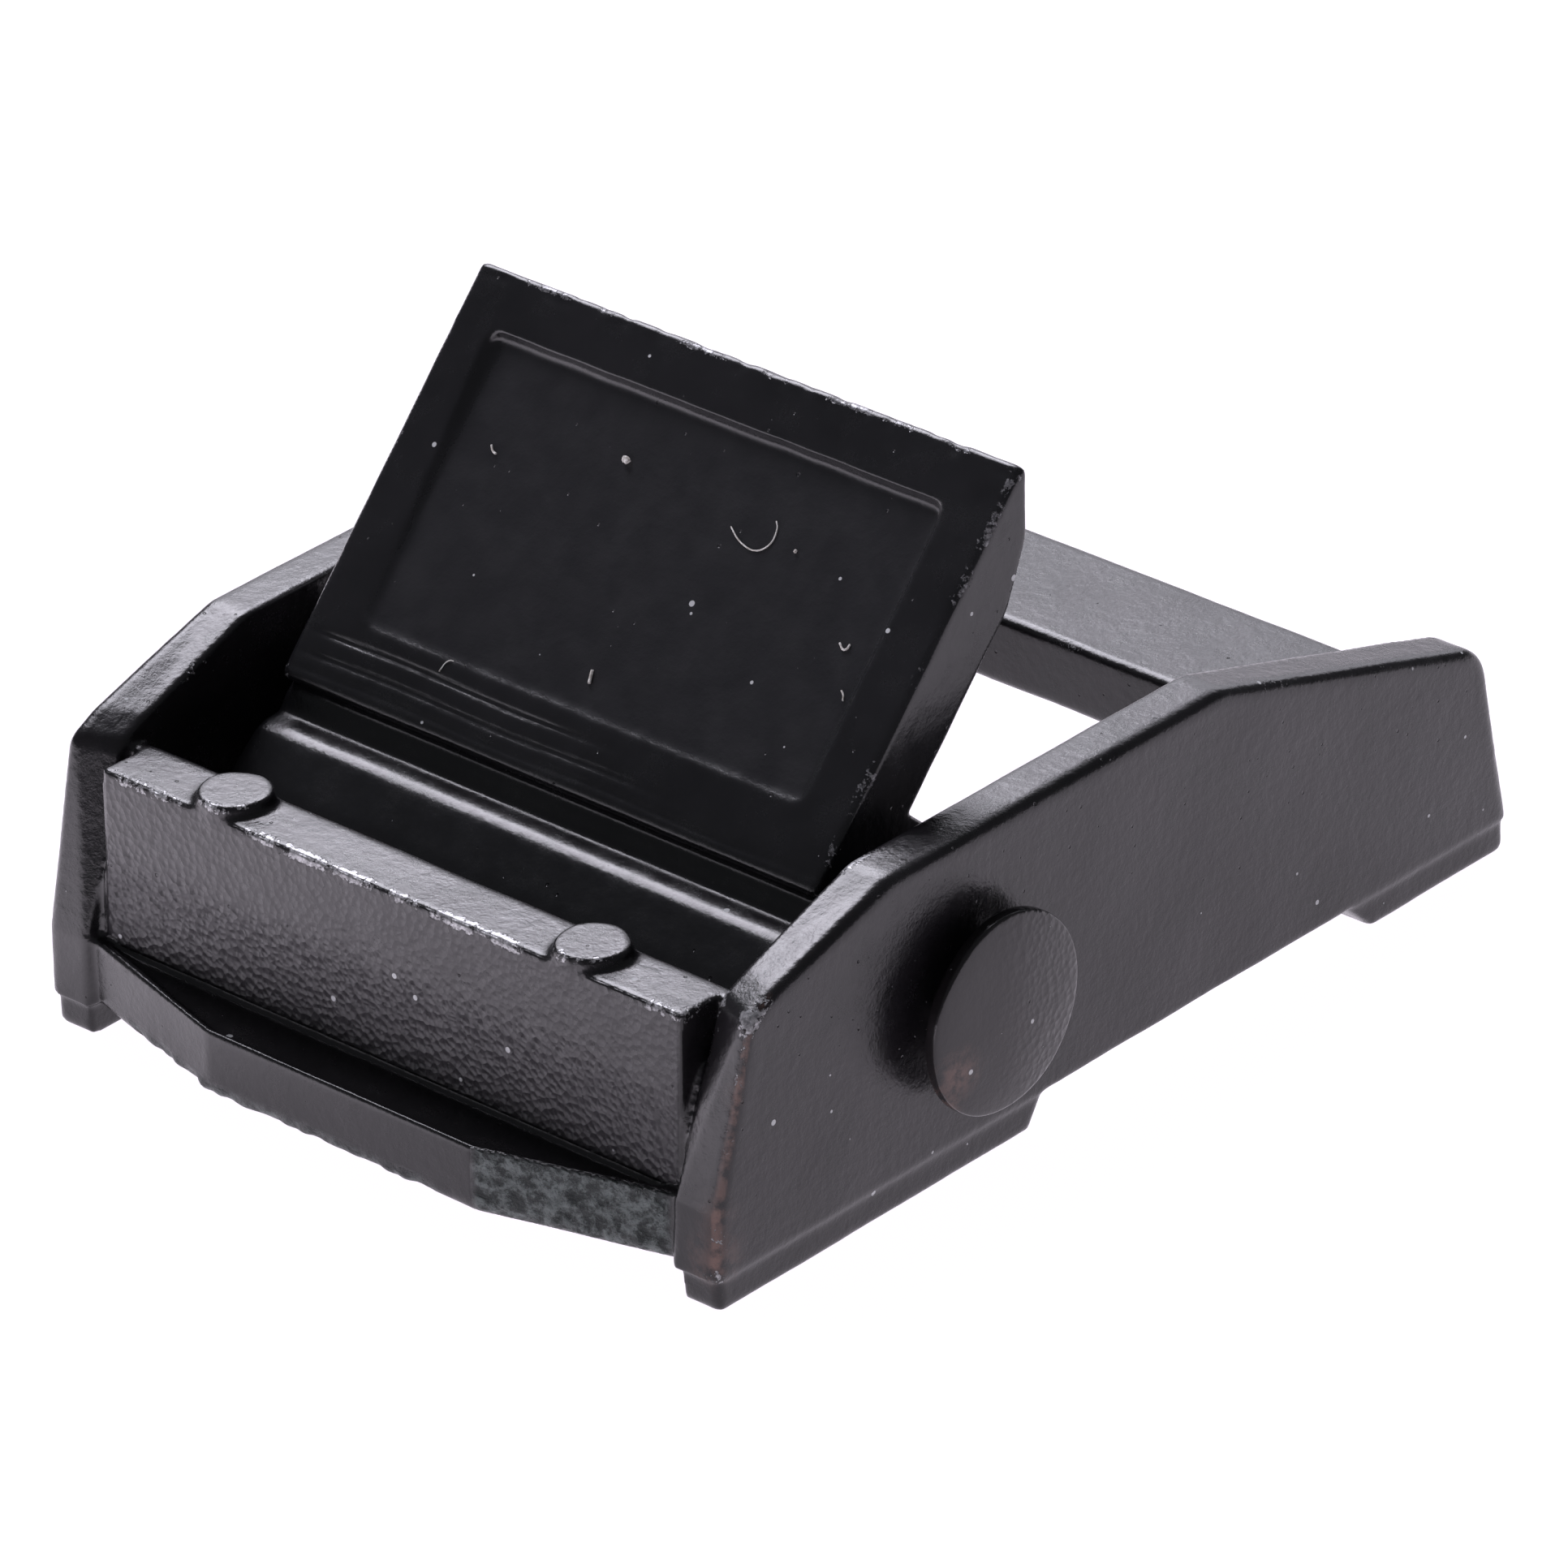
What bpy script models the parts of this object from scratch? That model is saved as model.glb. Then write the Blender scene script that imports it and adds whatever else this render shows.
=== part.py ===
"""Cam buckle for one-inch webbing: cast frame, thumb lever with toothed cam, rivet, torsion spring.

X runs across the webbing, along the lever's pivot. Y runs along the webbing, front at -Y. Z is up.
Lengths below are millimetres. Profiles are drawn in the (y, z) plane, y counted from the front bar's face.
"""

import math

import bmesh
import bpy
from mathutils import Matrix, Vector

MM = 0.001
LENGTH_CENTRE = 20.2         # from the front bar's face back to the middle of the buckle

# Side walls
WALL_OUTER = 16.5            # half width across the walls at their top
WALL_THICK = 2.1
WALL_FLARE = 0.0246          # outward lean of each wall per unit of height
WALL_TOP = 13.6
WALL_EDGE = 0.5              # rounding of the outer edge
PARTING = 1.4                # height of the feet
REAR_END = 42.9

# Front bar with its stiffening lip
BAR_HALF = 13.95
BAR_TOP = 10.85
BAR_DEPTH = 3.1
BAR_FACE_LEAN = 0.33
BAR_FOOT = 3.7
BAR_FACE_SETBACK = 2.2       # how far the bar's ends stay behind its face inside the walls
ROOT_INSET = 0.03
LIP_TOP = 4.15
LIP_FLAT_HALF = 6.4
LIP_REACH = 2.5
LIP_END_REACH = 0.39
LIP_BEVEL = 0.25
BOSS_RADIUS = 1.43
BOSS_HEIGHT = 0.5
BOSS_X = 8.6
BOSS_Y = 1.71

# Rear bar for the sewn webbing
REAR_BAR_FRONT = 35.5
REAR_BAR_BACK = 41.9
REAR_BAR_LOW = 3.5
REAR_BAR_HIGH = 6.5

# Pivot rivet
PIVOT_Y = 12.85
PIVOT_Z = 6.85
PIN_RADIUS = 2.0
BORE_RADIUS = 2.1
HEAD_RADIUS = 3.82
HEAD_FLANK = 17.35
HEAD_RIM = 17.8
HEAD_CROWN = 18.15
NECK_RADIUS = 2.75
NECK_START = 16.8
PEENED_RADIUS = 3.1

# Lever
LEVER_HALF = 12.9
PLATE_ANGLE = math.radians(47.3)
PLATE_FOOT = (8.30, 11.62)
PLATE_LENGTH = 16.55
PLATE_THICK = 3.1
PANEL_HALF = 10.7
PANEL_LOW = 2.95
PANEL_HIGH = 14.6
PANEL_DEPTH = 0.45
PANEL_BEVEL = 0.5
HUB_RADIUS = 5.0
NOSE_RADIUS = 9.2
TOOTH_COUNT = 5
TOOTH_PITCH = 9.5
TOOTH_DEPTH = 0.7

# Torsion spring in the pocket at the lever's left end
WIRE_RADIUS = 0.4
COIL_RADIUS = 3.2
COIL_TURNS = 4.0
COIL_START = -12.3
COIL_PITCH = 0.95
POCKET_RADIUS = 4.0
POCKET_FLOOR = -7.6
LEG_HOLE_RADIUS = 0.7
FIXED_LEG_END = -15.0
MOVING_LEG_END = -6.2
LEG_HOLE_MARGIN = 0.4


def clear_scene():
    for ob in list(bpy.data.objects):
        bpy.data.objects.remove(ob)


def material(name, colour, roughness, metallic):
    mat = bpy.data.materials.new(name)
    mat.use_nodes = True
    shader = mat.node_tree.nodes["Principled BSDF"]
    shader.inputs["Base Color"].default_value = (*colour, 1.0)
    shader.inputs["Roughness"].default_value = roughness
    shader.inputs["Metallic"].default_value = metallic
    return mat


def fillet(corners, steps=4):
    """Rounds the corners of a closed (y, z) polygon; each corner is (y, z, radius)."""
    out = []
    count = len(corners)
    for i, (py, pz, radius) in enumerate(corners):
        ay, az, _ = corners[i - 1]
        by, bz, _ = corners[(i + 1) % count]
        if radius <= 0:
            out.append((py, pz))
            continue
        ua = math.atan2(az - pz, ay - py)
        ub = math.atan2(bz - pz, by - py)
        turn = (ub - ua + math.pi) % (2 * math.pi) - math.pi
        half = abs(turn) / 2
        reach = radius / math.tan(half)
        mid = ua + turn / 2
        cy = py + radius / math.sin(half) * math.cos(mid)
        cz = pz + radius / math.sin(half) * math.sin(mid)
        sy, sz = py + reach * math.cos(ua), pz + reach * math.sin(ua)
        ey, ez = py + reach * math.cos(ub), pz + reach * math.sin(ub)
        start = math.atan2(sz - cz, sy - cy)
        sweep = (math.atan2(ez - cz, ey - cy) - start + math.pi) % (2 * math.pi) - math.pi
        for k in range(steps + 1):
            a = start + sweep * k / steps
            out.append((cy + radius * math.cos(a), cz + radius * math.sin(a)))
    return out


def inset(loop, amount):
    """Moves a closed polygon inward by the amount, corner by corner."""
    area = sum(
        loop[i - 1][0] * loop[i][1] - loop[i][0] * loop[i - 1][1] for i in range(len(loop))
    )
    side = 1.0 if area > 0 else -1.0
    out = []
    for i, p in enumerate(loop):
        a = loop[i - 1]
        b = loop[(i + 1) % len(loop)]
        n1 = (-(p[1] - a[1]), p[0] - a[0])
        n2 = (-(b[1] - p[1]), b[0] - p[0])
        l1 = math.hypot(*n1) or 1.0
        l2 = math.hypot(*n2) or 1.0
        ny = n1[0] / l1 + n2[0] / l2
        nz = n1[1] / l1 + n2[1] / l2
        scale = side * amount * 2 / max(ny * ny + nz * nz, 1.0)
        out.append((p[0] + ny * scale, p[1] + nz * scale))
    return out


def solid(name, rings):
    """Closed mesh through equally sized rings of (x, y, z) points, capped at both ends."""
    mesh = bmesh.new()
    rows = []
    for ring in rings:
        rows.append([mesh.verts.new((x * MM, (y - LENGTH_CENTRE) * MM, z * MM)) for x, y, z in ring])
    count = len(rows[0])
    for low, high in zip(rows, rows[1:]):
        for i in range(count):
            j = (i + 1) % count
            mesh.faces.new((low[i], low[j], high[j], high[i]))
    mesh.faces.new(rows[0])
    mesh.faces.new(list(reversed(rows[-1])))
    bmesh.ops.recalc_face_normals(mesh, faces=mesh.faces)
    data = bpy.data.meshes.new(name)
    mesh.to_mesh(data)
    mesh.free()
    ob = bpy.data.objects.new(name, data)
    bpy.context.collection.objects.link(ob)
    return ob


def prism(name, loop, stations):
    """Extrudes a (y, z) loop along X; stations are (x, inset)."""
    return solid(name, [[(x, y, z) for y, z in inset(loop, d)] for x, d in stations])


def upright(name, loop, stations):
    """Extrudes an (x, y) loop along Z; stations are (z, inset)."""
    return solid(name, [[(x, y, z) for x, y in inset(loop, d)] for z, d in stations])


def turned(name, outline, centre, segments=48):
    """Revolves an outline of (x, radius) around the line through the centre (y, z) along X."""
    rings = []
    for x, radius in outline:
        ring = []
        for k in range(segments):
            a = 2 * math.pi * k / segments
            ring.append((x, centre[0] + radius * math.cos(a), centre[1] + radius * math.sin(a)))
        rings.append(ring)
    return solid(name, rings)


def place(ob, origin):
    """Moves the object's origin to a point given in millimetres, leaving its shape where it is."""
    x, y, z = origin
    centre = Vector((x * MM, (y - LENGTH_CENTRE) * MM, z * MM))
    ob.data.transform(Matrix.Translation(-centre))
    ob.location = centre


def combine(target, other, operation):
    mod = target.modifiers.new(other.name, "BOOLEAN")
    mod.object = other
    mod.operation = operation
    mod.solver = "EXACT"
    other.hide_render = True
    other.display_type = "WIRE"


def finish(ob, mat):
    ob.data.materials.append(mat)
    for face in ob.data.polygons:
        face.use_smooth = len(face.vertices) <= 4


def rounding_stations(flat, edge, radius, steps=4):
    """Stations for a rounded edge that ends at x = edge, after a flat part starting at x = flat."""
    out = [(flat, 0.0)]
    sign = 1.0 if edge > flat else -1.0
    for k in range(steps + 1):
        a = 0.5 * math.pi * k / steps
        out.append((edge - sign * radius * (1 - math.sin(a)), radius * (1 - math.cos(a))))
    return out


def wall_loop():
    return fillet([
        (-0.75, PARTING, 0.0),
        (-0.65, 4.0, 1.5),
        (0.95, 11.1, 0.9),
        (2.3, 11.75, 1.2),
        (8.5, WALL_TOP, 1.8),
        (26.3, WALL_TOP, 3.0),
        (41.2, 9.1, 1.9),
        (REAR_END, PARTING, 0.0),
    ])


def front_recess(y, z, depth):
    """Set-back of the wall's front face towards its inner edge, above the lip."""
    if y > 3.2 or z < LIP_TOP:
        return 0.0
    return 0.13 * (z - LIP_TOP) * max(0.0, 1 - depth / WALL_THICK)


def wall(name, side):
    loop = wall_loop()
    inner = WALL_OUTER - WALL_THICK
    stations = [(inner, 0.12)] + rounding_stations(inner + 0.12, WALL_OUTER, WALL_EDGE)
    rings = []
    for x, d in stations:
        ring = []
        for (y, z), (y0, z0) in zip(inset(loop, d), loop):
            level = max(z, PARTING) if z0 > PARTING else PARTING
            lean = WALL_FLARE * (WALL_TOP - level)
            ring.append((side * (x - lean), y + front_recess(y0, z0, x - inner), level))
        rings.append(ring)
    return solid(name, rings)


def foot(name, side, front, back):
    low = WALL_FLARE * (WALL_TOP - PARTING)
    loop = fillet(front + back)
    stations = [(side * 14.35, 0.0), (side * (WALL_OUTER - low - 0.4), 0.0)]
    stations += [(side * (WALL_OUTER - low - 0.18), 0.07), (side * (WALL_OUTER - low - 0.1), 0.25)]
    return prism(name, loop, stations)


def bar_loop(setback):
    face_low = max(0.0, setback)
    face_high = max(BAR_FACE_LEAN, setback)
    return fillet([
        (face_low, PARTING + 0.3, 0.0),
        (face_high, BAR_TOP, 0.15),
        (BAR_DEPTH, BAR_TOP, 0.5),
        (BAR_FOOT, PARTING + 0.03, 1.0),
        (face_low + 0.3, PARTING + 0.03, 0.0),
    ])


def build_frame(mat):
    frame = wall("frame", -1)
    pieces = [wall("wall_right", 1)]
    deep = WALL_OUTER - 1.2
    pieces.append(prism("front_bar", bar_loop(0.0), [(-BAR_HALF, 0.0), (BAR_HALF, 0.0)]))
    pieces.append(prism("bar_roots", bar_loop(BAR_FACE_SETBACK), [(-deep, ROOT_INSET), (deep, ROOT_INSET)]))
    plan = [
        (-14.6, 0.1), (-14.1, -LIP_END_REACH), (-LIP_FLAT_HALF, -LIP_REACH),
        (LIP_FLAT_HALF, -LIP_REACH), (14.1, -LIP_END_REACH), (14.6, 0.1),
        (14.6, 2.0), (-14.6, 2.0),
    ]
    pieces.append(upright("lip", plan, [
        (PARTING + 0.01, 0.2), (PARTING + 0.25, 0.0), (LIP_TOP - 0.2, 0.0), (LIP_TOP, LIP_BEVEL),
    ]))
    rear = fillet([
        (REAR_BAR_FRONT, REAR_BAR_LOW, 0.5), (REAR_BAR_FRONT, REAR_BAR_HIGH, 0.4),
        (REAR_BAR_BACK, REAR_BAR_HIGH, 0.5), (REAR_BAR_BACK, REAR_BAR_LOW, 0.5),
    ])
    pieces.append(prism("rear_bar", rear, [(-deep, 0.0), (deep, 0.0)]))
    front_foot = ([(-0.45, 0.0, 0.4), (-0.5, 1.8, 0.0)], [(17.1, 1.8, 0.0), (16.0, 0.0, 0.3)])
    rear_foot = ([(35.1, 0.0, 0.3), (33.2, 1.8, 0.0)], [(42.6, 1.8, 0.0), (42.7, 0.0, 0.4)])
    for side, tag in ((-1, "left"), (1, "right")):
        pieces.append(foot("front_foot_" + tag, side, *front_foot))
        pieces.append(foot("rear_foot_" + tag, side, *rear_foot))
        ring = []
        for k in range(32):
            a = 2 * math.pi * k / 32
            ring.append((side * BOSS_X + BOSS_RADIUS * math.cos(a), BOSS_Y + BOSS_RADIUS * math.sin(a)))
        top = BAR_TOP + BOSS_HEIGHT
        pieces.append(upright("boss_" + tag, ring, [
            (BAR_TOP - 1.0, 0.0), (top - 0.1, 0.0), (top, 0.1),
        ]))
    for piece in pieces:
        combine(frame, piece, "UNION")
    centre = (PIVOT_Y, PIVOT_Z)
    combine(frame, turned("pin_bore", [(-19.0, BORE_RADIUS), (19.0, BORE_RADIUS)], centre), "DIFFERENCE")
    hole = (PIVOT_Y, PIVOT_Z + COIL_RADIUS)
    cut = [(FIXED_LEG_END - LEG_HOLE_MARGIN, LEG_HOLE_RADIUS), (-12.0, LEG_HOLE_RADIUS)]
    combine(frame, turned("fixed_leg_hole", cut, hole, 20), "DIFFERENCE")
    finish(frame, mat)
    return frame


def plate_point(along, out):
    """Point on the thumb plate: distance up its face from the foot, and distance out of the face."""
    c, s = math.cos(PLATE_ANGLE), math.sin(PLATE_ANGLE)
    return (PLATE_FOOT[0] + along * c - out * s, PLATE_FOOT[1] + along * s + out * c)


def polar(radius, degrees):
    a = math.radians(degrees)
    return (PIVOT_Y + radius * math.cos(a), PIVOT_Z + radius * math.sin(a))


def lever_loop():
    corners = [
        (*plate_point(0.0, 0.0), 0.3),
        (8.95, 11.3, 0.15),
        (9.9, 11.4, 0.0),
        (9.9, 10.95, 0.0),
        (8.75, 10.85, 0.15),
        (8.15, 10.45, 0.3),
        (7.1, 10.25, 0.8),
        (5.7, 9.05, 0.0),
    ]
    for i in range(TOOTH_COUNT):
        angle = 179.0 + i * TOOTH_PITCH
        radius = NOSE_RADIUS - 0.011 * (i * TOOTH_PITCH) - 0.0009 * (i * TOOTH_PITCH) ** 2
        corners.append((*polar(radius, angle), 0.0))
        corners.append((*polar(radius - TOOTH_DEPTH, angle + TOOTH_PITCH * 0.35), 0.0))
    for degrees in range(228, 421, 12):
        corners.append((*polar(HUB_RADIUS, degrees), 0.0))
    corners += [
        (*plate_point(4.4, -PLATE_THICK), 0.0),
        (*plate_point(12.3, -PLATE_THICK), 1.5),
        (*plate_point(14.9, -2.2), 1.5),
        (*plate_point(16.1, -1.1), 0.5),
        (*plate_point(PLATE_LENGTH, -0.1), 0.15),
        (*plate_point(PLATE_LENGTH - 0.12, 0.0), 0.0),
    ]
    return fillet(corners, 3)


def panel_cutter():
    rings = []
    for out, grow in ((0.6, PANEL_BEVEL * 0.6), (0.0, 0.0), (-PANEL_DEPTH, -PANEL_BEVEL)):
        ring = []
        for x, along in (
            (-PANEL_HALF - grow, PANEL_LOW - grow), (PANEL_HALF + grow, PANEL_LOW - grow),
            (PANEL_HALF + grow, PANEL_HIGH + grow), (-PANEL_HALF - grow, PANEL_HIGH + grow),
        ):
            y, z = plate_point(along, out)
            ring.append((x, y, z))
        rings.append(ring)
    return solid("panel_recess", rings)


def build_lever(mat):
    inner = LEVER_HALF - 0.3
    stations = [(-LEVER_HALF, 0.12), (-LEVER_HALF + 0.1, 0.03), (-inner, 0.0)]
    stations += [(inner, 0.0), (LEVER_HALF - 0.1, 0.03), (LEVER_HALF, 0.12)]
    lever = prism("lever", lever_loop(), stations)
    combine(lever, panel_cutter(), "DIFFERENCE")
    bore = [
        (-14.0, POCKET_RADIUS), (POCKET_FLOOR, POCKET_RADIUS), (POCKET_FLOOR, BORE_RADIUS),
        (14.0, BORE_RADIUS),
    ]
    combine(lever, turned("hub_bore", bore, (PIVOT_Y, PIVOT_Z)), "DIFFERENCE")
    hole = (PIVOT_Y, PIVOT_Z + COIL_RADIUS)
    cut = [(POCKET_FLOOR - 1.0, LEG_HOLE_RADIUS), (MOVING_LEG_END + LEG_HOLE_MARGIN, LEG_HOLE_RADIUS)]
    combine(lever, turned("moving_leg_hole", cut, hole, 20), "DIFFERENCE")
    finish(lever, mat)
    place(lever, (0.0, PIVOT_Y, PIVOT_Z))
    return lever


def build_rivet(mat):
    outline = [
        (-HEAD_CROWN, 0.6),
        (-HEAD_CROWN + 0.12, 1.6),
        (-HEAD_CROWN + 0.5, 2.6),
        (-HEAD_CROWN + 0.95, PEENED_RADIUS),
        (-NECK_START, PEENED_RADIUS - 0.15),
        (-NECK_START, PIN_RADIUS),
        (NECK_START, PIN_RADIUS),
        (NECK_START, NECK_RADIUS),
        (HEAD_FLANK, NECK_RADIUS),
        (HEAD_FLANK, HEAD_RADIUS - 0.2),
        (HEAD_FLANK + 0.15, HEAD_RADIUS),
        (HEAD_RIM - 0.1, HEAD_RADIUS),
        (HEAD_RIM, HEAD_RADIUS - 0.15),
        (HEAD_RIM + 0.17, 2.7),
        (HEAD_CROWN - 0.06, 1.5),
        (HEAD_CROWN, 0.5),
    ]
    rivet = turned("rivet", outline, (PIVOT_Y, PIVOT_Z), 64)
    finish(rivet, mat)
    place(rivet, (0.0, PIVOT_Y, PIVOT_Z))
    return rivet


def spring_path():
    """Centre line of the wire: axial leg into the wall, the coil, axial leg into the hub."""
    path = []
    top = PIVOT_Z + COIL_RADIUS
    for k in range(3):
        path.append((FIXED_LEG_END + 0.9 * k, PIVOT_Y, top))
    steps = int(COIL_TURNS * 20)
    for k in range(steps + 1):
        a = 2 * math.pi * COIL_TURNS * k / steps
        x = COIL_START + COIL_PITCH * COIL_TURNS * k / steps
        path.append((x, PIVOT_Y + COIL_RADIUS * math.sin(a), PIVOT_Z + COIL_RADIUS * math.cos(a)))
    path.append((COIL_START + COIL_PITCH * COIL_TURNS + 0.7, PIVOT_Y, top))
    path.append((MOVING_LEG_END, PIVOT_Y, top))
    return path


def build_spring(mat):
    path = spring_path()
    rings = []
    for i, p in enumerate(path):
        a = path[max(i - 1, 0)]
        b = path[min(i + 1, len(path) - 1)]
        t = [b[k] - a[k] for k in range(3)]
        length = math.sqrt(sum(v * v for v in t))
        t = [v / length for v in t]
        radial = [0.0, p[1] - PIVOT_Y, p[2] - PIVOT_Z]
        size = math.hypot(radial[1], radial[2])
        radial = [v / size for v in radial]
        dot = sum(radial[k] * t[k] for k in range(3))
        u = [radial[k] - dot * t[k] for k in range(3)]
        size = math.sqrt(sum(v * v for v in u))
        u = [v / size for v in u]
        w = (t[1] * u[2] - t[2] * u[1], t[2] * u[0] - t[0] * u[2], t[0] * u[1] - t[1] * u[0])
        ring = []
        for k in range(10):
            c, s = math.cos(2 * math.pi * k / 10), math.sin(2 * math.pi * k / 10)
            ring.append(tuple(p[j] + WIRE_RADIUS * (c * u[j] + s * w[j]) for j in range(3)))
        rings.append(ring)
    spring = solid("spring", rings)
    finish(spring, mat)
    place(spring, (0.0, PIVOT_Y, PIVOT_Z))
    return spring


def main():
    clear_scene()
    lacquer = material("black_lacquer", (0.012, 0.012, 0.014), 0.32, 0.0)
    lever_lacquer = material("lever_lacquer", (0.010, 0.010, 0.012), 0.36, 0.0)
    rivet_paint = material("rivet_lacquer", (0.014, 0.012, 0.013), 0.26, 0.0)
    steel = material("spring_steel", (0.42, 0.42, 0.44), 0.3, 1.0)
    build_frame(lacquer)
    build_lever(lever_lacquer)
    build_rivet(rivet_paint)
    build_spring(steel)


main()
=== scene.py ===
"""Cam buckle for one-inch webbing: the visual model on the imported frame.

The castings are modelled in millimetres, fused, remeshed and worn in code, then scaled to metres.
Profiles are drawn in the (y, z) plane, y counted from the front bar's face, as in the CAD source.
"""

import math

import bmesh
import bpy
import numpy as np
from mathutils import Matrix, Vector, noise


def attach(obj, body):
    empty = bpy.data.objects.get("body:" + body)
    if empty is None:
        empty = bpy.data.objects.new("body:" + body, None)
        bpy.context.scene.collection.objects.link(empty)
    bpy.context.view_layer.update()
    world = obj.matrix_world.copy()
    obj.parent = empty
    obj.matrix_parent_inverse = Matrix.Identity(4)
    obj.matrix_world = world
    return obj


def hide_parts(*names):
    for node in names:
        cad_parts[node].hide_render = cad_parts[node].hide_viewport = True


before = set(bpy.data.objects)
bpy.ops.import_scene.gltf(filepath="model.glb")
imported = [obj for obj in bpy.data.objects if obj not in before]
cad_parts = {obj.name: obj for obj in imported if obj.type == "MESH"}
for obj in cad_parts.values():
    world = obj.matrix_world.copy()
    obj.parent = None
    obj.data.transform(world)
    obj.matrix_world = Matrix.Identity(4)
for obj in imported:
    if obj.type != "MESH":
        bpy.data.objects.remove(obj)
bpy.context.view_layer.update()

MM = 0.001
LENGTH_CENTRE = 20.2

# Side walls
WALL_OUTER = 16.5
WALL_THICK = 2.1
WALL_FLARE = 0.0246
WALL_TOP = 13.6
WALL_EDGE = 0.5
WALL_ROOT = 1.2
PARTING = 1.4
REAR_END = 42.9
RECESS_REACH = 3.2
RECESS_SLOPE = 0.13
FOOT_INNER = 14.35

# Front bar with its stiffening lip
BAR_HALF = 13.95
BAR_TOP = 10.85
BAR_DEPTH = 3.1
BAR_FACE_LEAN = 0.33
BAR_FOOT = 3.7
BAR_FACE_SETBACK = 2.2
LIP_TOP = 4.15
LIP_FLAT_HALF = 6.4
LIP_REACH = 2.5
LIP_END_REACH = 0.39
LIP_RIM = 0.42
LIP_TROUGH = 0.32
LIP_END = 14.1
LIP_ROOT = 14.6
BOSS_RADIUS = 1.43
BOSS_HEIGHT = 0.47
BOSS_X = 8.6
BOSS_Y = 1.71

# Rear bar
REAR_BAR_FRONT = 35.5
REAR_BAR_BACK = 41.9
REAR_BAR_LOW = 3.5
REAR_BAR_HIGH = 6.5

# Pivot and lever
PIVOT_Y = 12.85
PIVOT_Z = 6.85
BORE_RADIUS = 2.12
POCKET_RADIUS = 4.0
POCKET_FLOOR = -7.6
COIL_RADIUS = 3.2
LEG_HOLE_RADIUS = 0.7
SHANK_RADIUS = 2.0
HEAD_START = 16.8
RIVET_SEGMENTS = 160
RIVET_EDGE_SIZE = 0.13
RIVET_ENDS = 16.9
LEVER_HALF = 12.88
PLATE_ANGLE = math.radians(47.3)
PLATE_FOOT = (8.30, 11.62)
PLATE_LENGTH = 16.85
PLATE_THICK = 3.1
PANEL_LOW = 2.95
PANEL_HIGH = 14.55
PANEL_LOW_LEFT = -10.35
PANEL_LOW_RIGHT = 10.65
PANEL_HIGH_LEFT = -11.05
PANEL_HIGH_RIGHT = 10.5
PANEL_DEPTH = 0.40
PANEL_SHALLOW = 0.11
PANEL_BEVEL = 0.07
PANEL_CORNER = 0.45
HUB_RADIUS = 5.0
NOSE_RADIUS = 9.2
TOOTH_COUNT = 5
TOOTH_PITCH = 9.5
TOOTH_DEPTH = 0.7

FRAME_VOXEL = 0.13
LEVER_VOXEL = 0.13

# How sharp an edge is before its lacquer thins, from none to all
CAST_RIDGE = (0.012, 0.05)
TURNED_RIDGE = (0.03, 0.09)


# ---------------------------------------------------------------- shapes

def fillet(corners, steps=8):
    """Rounds the corners of a closed polygon; each corner is (a, b, radius)."""
    out = []
    count = len(corners)
    for i, (py, pz, radius) in enumerate(corners):
        ay, az, _ = corners[i - 1]
        by, bz, _ = corners[(i + 1) % count]
        if radius <= 0:
            out.append((py, pz))
            continue
        ua = math.atan2(az - pz, ay - py)
        ub = math.atan2(bz - pz, by - py)
        turn = (ub - ua + math.pi) % (2 * math.pi) - math.pi
        half = abs(turn) / 2
        reach = radius / math.tan(half)
        mid = ua + turn / 2
        cy = py + radius / math.sin(half) * math.cos(mid)
        cz = pz + radius / math.sin(half) * math.sin(mid)
        sy, sz = py + reach * math.cos(ua), pz + reach * math.sin(ua)
        ey, ez = py + reach * math.cos(ub), pz + reach * math.sin(ub)
        start = math.atan2(sz - cz, sy - cy)
        sweep = (math.atan2(ez - cz, ey - cy) - start + math.pi) % (2 * math.pi) - math.pi
        for k in range(steps + 1):
            a = start + sweep * k / steps
            out.append((cy + radius * math.cos(a), cz + radius * math.sin(a)))
    return out


def inset(loop, amount):
    """Moves each side of a closed polygon inwards by the amount."""
    area = sum(
        loop[i - 1][0] * loop[i][1] - loop[i][0] * loop[i - 1][1] for i in range(len(loop))
    )
    side = 1.0 if area > 0 else -1.0
    out = []
    for i, p in enumerate(loop):
        a = loop[i - 1]
        b = loop[(i + 1) % len(loop)]
        n1 = (-(p[1] - a[1]), p[0] - a[0])
        n2 = (-(b[1] - p[1]), b[0] - p[0])
        l1 = math.hypot(*n1) or 1.0
        l2 = math.hypot(*n2) or 1.0
        ny = n1[0] / l1 + n2[0] / l2
        nz = n1[1] / l1 + n2[1] / l2
        scale = side * amount * 2 / max(ny * ny + nz * nz, 1.0)
        out.append((p[0] + ny * scale, p[1] + nz * scale))
    return out


def solid(name, rings):
    """Closed mesh in millimetres through equally sized rings of points, capped at both ends."""
    mesh = bmesh.new()
    rows = [[mesh.verts.new((x, y - LENGTH_CENTRE, z)) for x, y, z in ring] for ring in rings]
    count = len(rows[0])
    for low, high in zip(rows, rows[1:]):
        for i in range(count):
            j = (i + 1) % count
            mesh.faces.new((low[i], low[j], high[j], high[i]))
    mesh.faces.new(rows[0])
    mesh.faces.new(list(reversed(rows[-1])))
    bmesh.ops.recalc_face_normals(mesh, faces=mesh.faces)
    data = bpy.data.meshes.new(name)
    mesh.to_mesh(data)
    mesh.free()
    ob = bpy.data.objects.new(name, data)
    bpy.context.collection.objects.link(ob)
    return ob


def prism(name, loop, stations):
    """A (y, z) loop carried along x; each station is (x, inset)."""
    return solid(name, [[(x, y, z) for y, z in inset(loop, d)] for x, d in stations])


def upright(name, loop, stations):
    """An (x, y) loop carried up z; each station is (z, inset)."""
    return solid(name, [[(x, y, z) for x, y in inset(loop, d)] for z, d in stations])


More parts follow.
